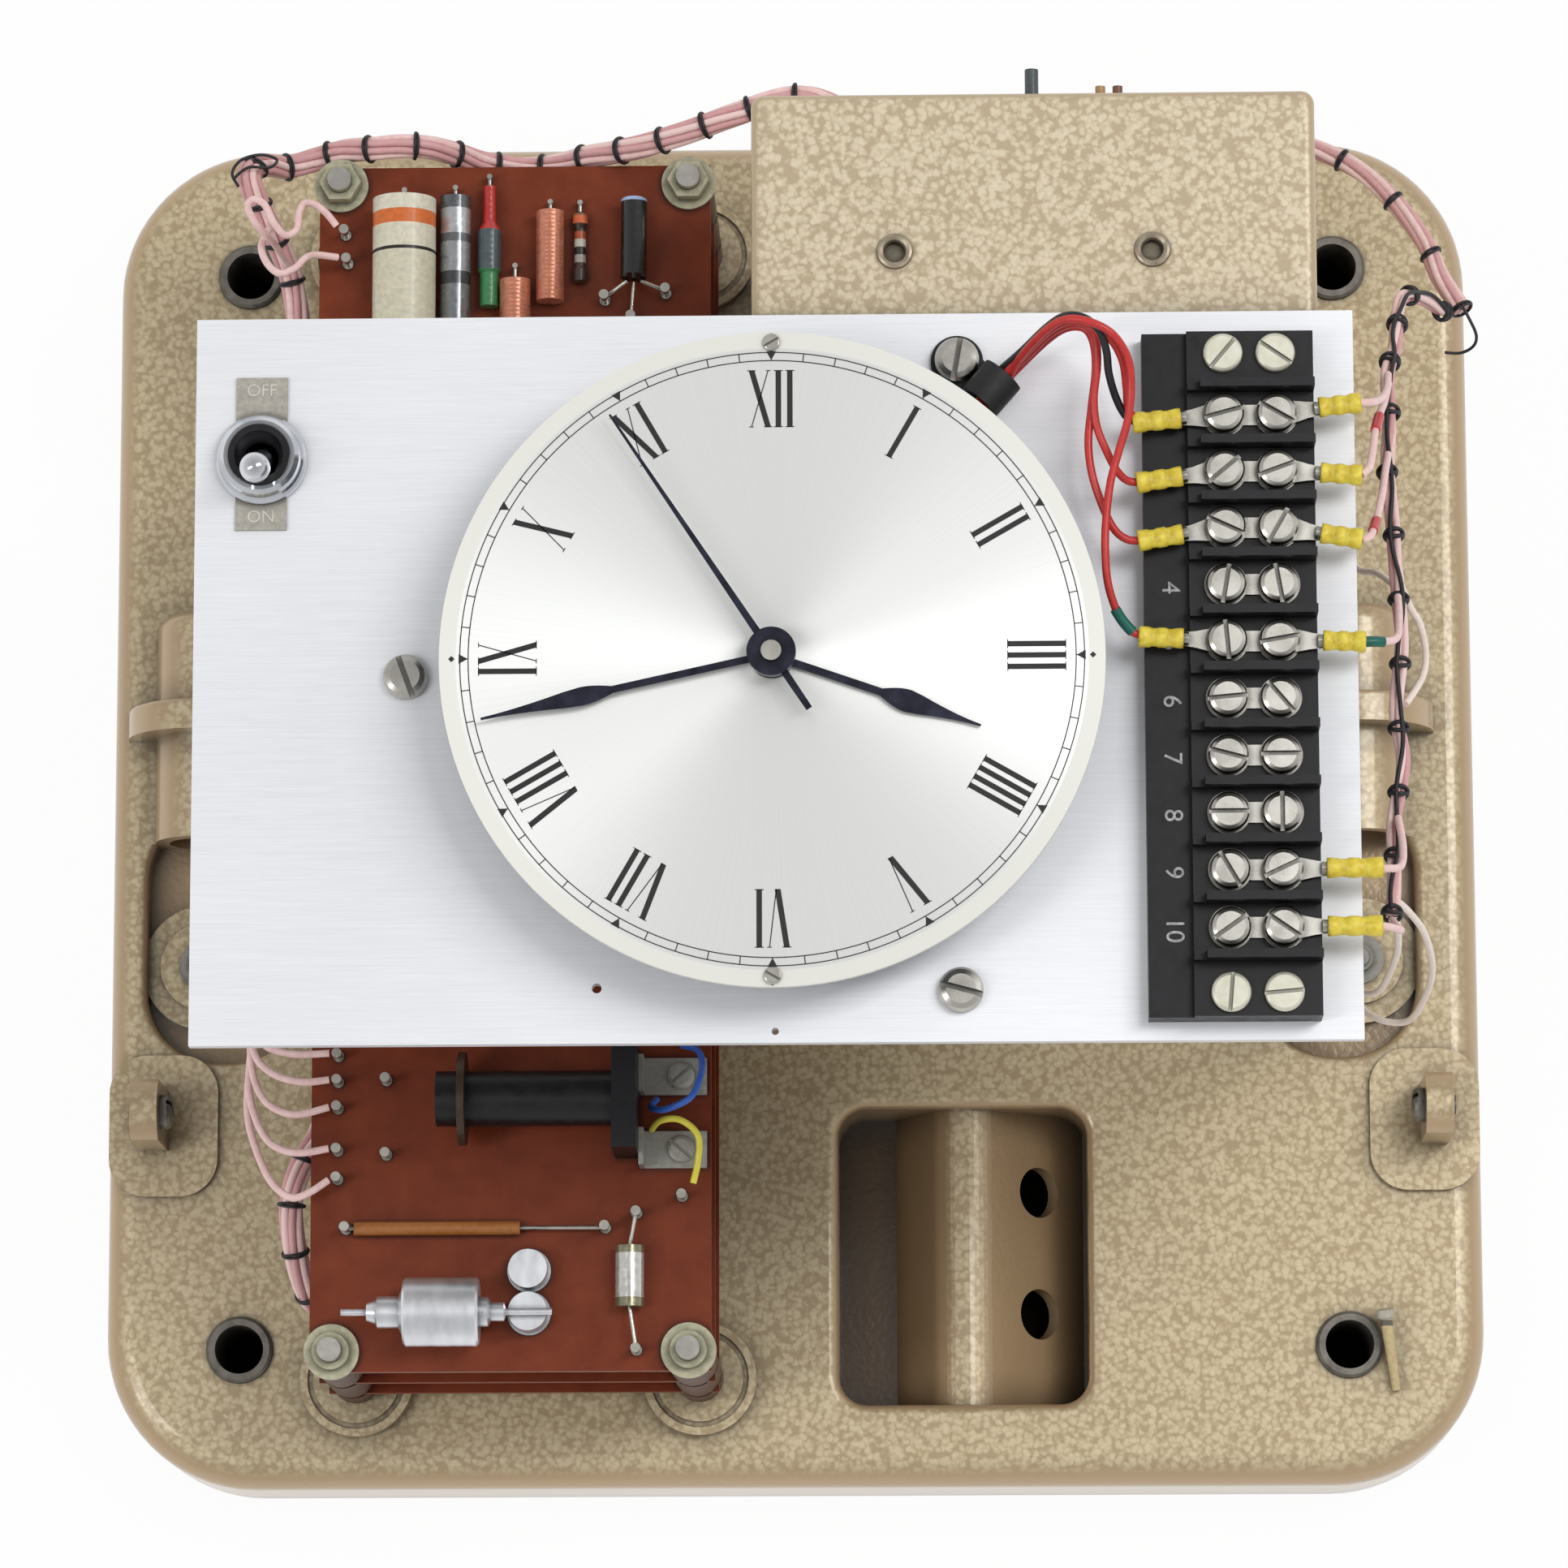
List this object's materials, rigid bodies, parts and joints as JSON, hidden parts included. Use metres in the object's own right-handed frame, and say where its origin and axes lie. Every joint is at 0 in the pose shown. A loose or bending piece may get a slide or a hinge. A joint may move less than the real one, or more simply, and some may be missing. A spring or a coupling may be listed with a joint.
{
  "type": "marine chronometer",
  "caption": "Ship's electric chronometer unit without its cover: dial movement, panel, terminals, circuit boards and supply box on a cast base.",
  "frame": {"origin": "middle of the cast base, in the plane of its back rim", "axes": "+Z out of the dial, +Y towards twelve o'clock, +X towards the terminal block"},
  "size_m": [0.29, 0.29, 0.1963],
  "materials": {
    "hammered_paint": "hammer-finish bronze enamel on a casting",
    "box_enamel": "fine hammer-finish enamel on folded sheet",
    "dull_steel": "plated steel, dulled",
    "bright_steel": "nickel-plated steel",
    "panel_aluminium": "brushed and clear anodised",
    "turned_aluminium": "turned aluminium",
    "dial_metal": "silvered dial, sunray grain",
    "blued_steel": "blue-black lacquered steel",
    "gear_brass": "milled and polished",
    "circuit_board": "varnished paper-phenolic laminate",
    "phenolic_black": "moulded phenolic",
    "black_rubber": "soft vinyl",
    "cream_shell": "waxed card tube",
    "clear_shell": "clear styrene over foil",
    "diode_bands": "enamel in three bands",
    "copper_foil": "copper-coloured lacquer",
    "resistor_clay": "baked lacquer with bands",
    "silver_can": "drawn can",
    "choke_black": "taped winding",
    "blue_wire": "vinyl-covered wire",
    "core_iron": "varnished laminations",
    "copper_winding": "taped copper winding",
    "cream_sleeve": "aged insulating sleeve",
    "yellow_sleeve": "vinyl sleeve",
    "red_wire": "vinyl-covered wire",
    "pink_wire": "vinyl-covered wire",
    "waxed_lacing": "waxed lacing cord",
    "buff_washer": "fibre washer",
    "plate_grey": "grey painted plate",
    "amber_peg": "moulded peg"
  },
  "bodies": {
    "root": {"base_casting": "hammered_paint", "mounting_sleeves": "dull_steel", "lug_screws": "dull_steel", "well_fixings": "dull_steel", "leaning_pin": "cream_sleeve", "board_studs": "bright_steel", "board_spacers": "buff_washer", "upper_board": "circuit_board", "lower_boards": "circuit_board", "board_washers": "buff_washer", "board_nuts": "buff_washer", "cream_capacitor": "cream_shell", "clear_capacitors": "clear_shell", "banded_diode": "diode_bands", "foil_capacitors": "copper_foil", "small_resistors": "resistor_clay", "capped_transistor": "phenolic_black", "pins_and_leads": "bright_steel", "choke_winding": "choke_black", "choke_fittings": "dull_steel", "canister_capacitor": "silver_can", "can_transistors": "silver_can", "link_wires": "blue_wire", "supply_cover": "box_enamel", "supply_eyelets": "buff_washer", "transformer_core": "core_iron", "transformer_winding": "copper_winding", "supply_pegs": "amber_peg", "front_panel": "panel_aluminium", "panel_posts": "dull_steel", "movement_screws": "bright_steel", "toggle_body": "phenolic_black", "dress_nut": "bright_steel", "switch_plate": "plate_grey", "terminal_block": "phenolic_black", "terminal_links": "bright_steel", "terminal_screws": "bright_steel", "block_screws": "buff_washer", "ring_lugs": "bright_steel", "lug_sleeves": "yellow_sleeve", "cable_clip": "black_rubber", "dial_leads": "red_wire", "dial": "dial_metal", "dial_screws": "bright_steel", "dial_ring": "turned_aluminium", "movement_case": "turned_aluminium", "movement_frame": "gear_brass", "drive_motor": "silver_can", "wiring_harness": "pink_wire", "branch_wires": "pink_wire", "harness_ties": "waxed_lacing"},
    "minute": {"centre_wheel": "gear_brass", "minute_hand": "blued_steel"},
    "hour": {"hour_wheel": "gear_brass", "hour_hand": "blued_steel"},
    "seconds": {"seconds_arbor": "bright_steel", "seconds_hand": "blued_steel"},
    "third": {"third_wheel": "gear_brass"},
    "minute_wheel_body": {"minute_wheel": "gear_brass"},
    "toggle": {"toggle_lever": "bright_steel"}
  },
  "joints": [
    {"name": "minute_spin", "type": "hinge", "parent": "root", "child": "minute", "pos_m": [0, 0, 0.17], "axis": [0, 0, 1], "continuous": true},
    {"name": "hour_spin", "type": "hinge", "parent": "root", "child": "hour", "pos_m": [0, 0, 0.17], "axis": [0, 0, 1], "continuous": true},
    {"name": "seconds_spin", "type": "hinge", "parent": "root", "child": "seconds", "pos_m": [0, 0, 0.17], "axis": [0, 0, 1], "continuous": true},
    {"name": "third_spin", "type": "hinge", "parent": "root", "child": "third", "pos_m": [0, 0.018, 0.17], "axis": [0, 0, 1], "continuous": true},
    {"name": "minute_wheel_spin", "type": "hinge", "parent": "root", "child": "minute_wheel_body", "pos_m": [-0.01039, -0.006, 0.17], "axis": [0, 0, 1], "continuous": true},
    {"name": "toggle_throw", "type": "hinge", "parent": "root", "child": "toggle", "pos_m": [-0.0996, 0.0432, 0.1685], "axis": [-1, 0, 0], "range_deg": [0, 32]}
  ],
  "couplings": [
    {"joint": "third_spin", "follows": "seconds_spin", "ratio": -0.13333},
    {"joint": "minute_spin", "follows": "seconds_spin", "ratio": 0.016667},
    {"joint": "minute_wheel_spin", "follows": "seconds_spin", "ratio": -0.0055556},
    {"joint": "hour_spin", "follows": "seconds_spin", "ratio": 0.0013889}
  ]
}
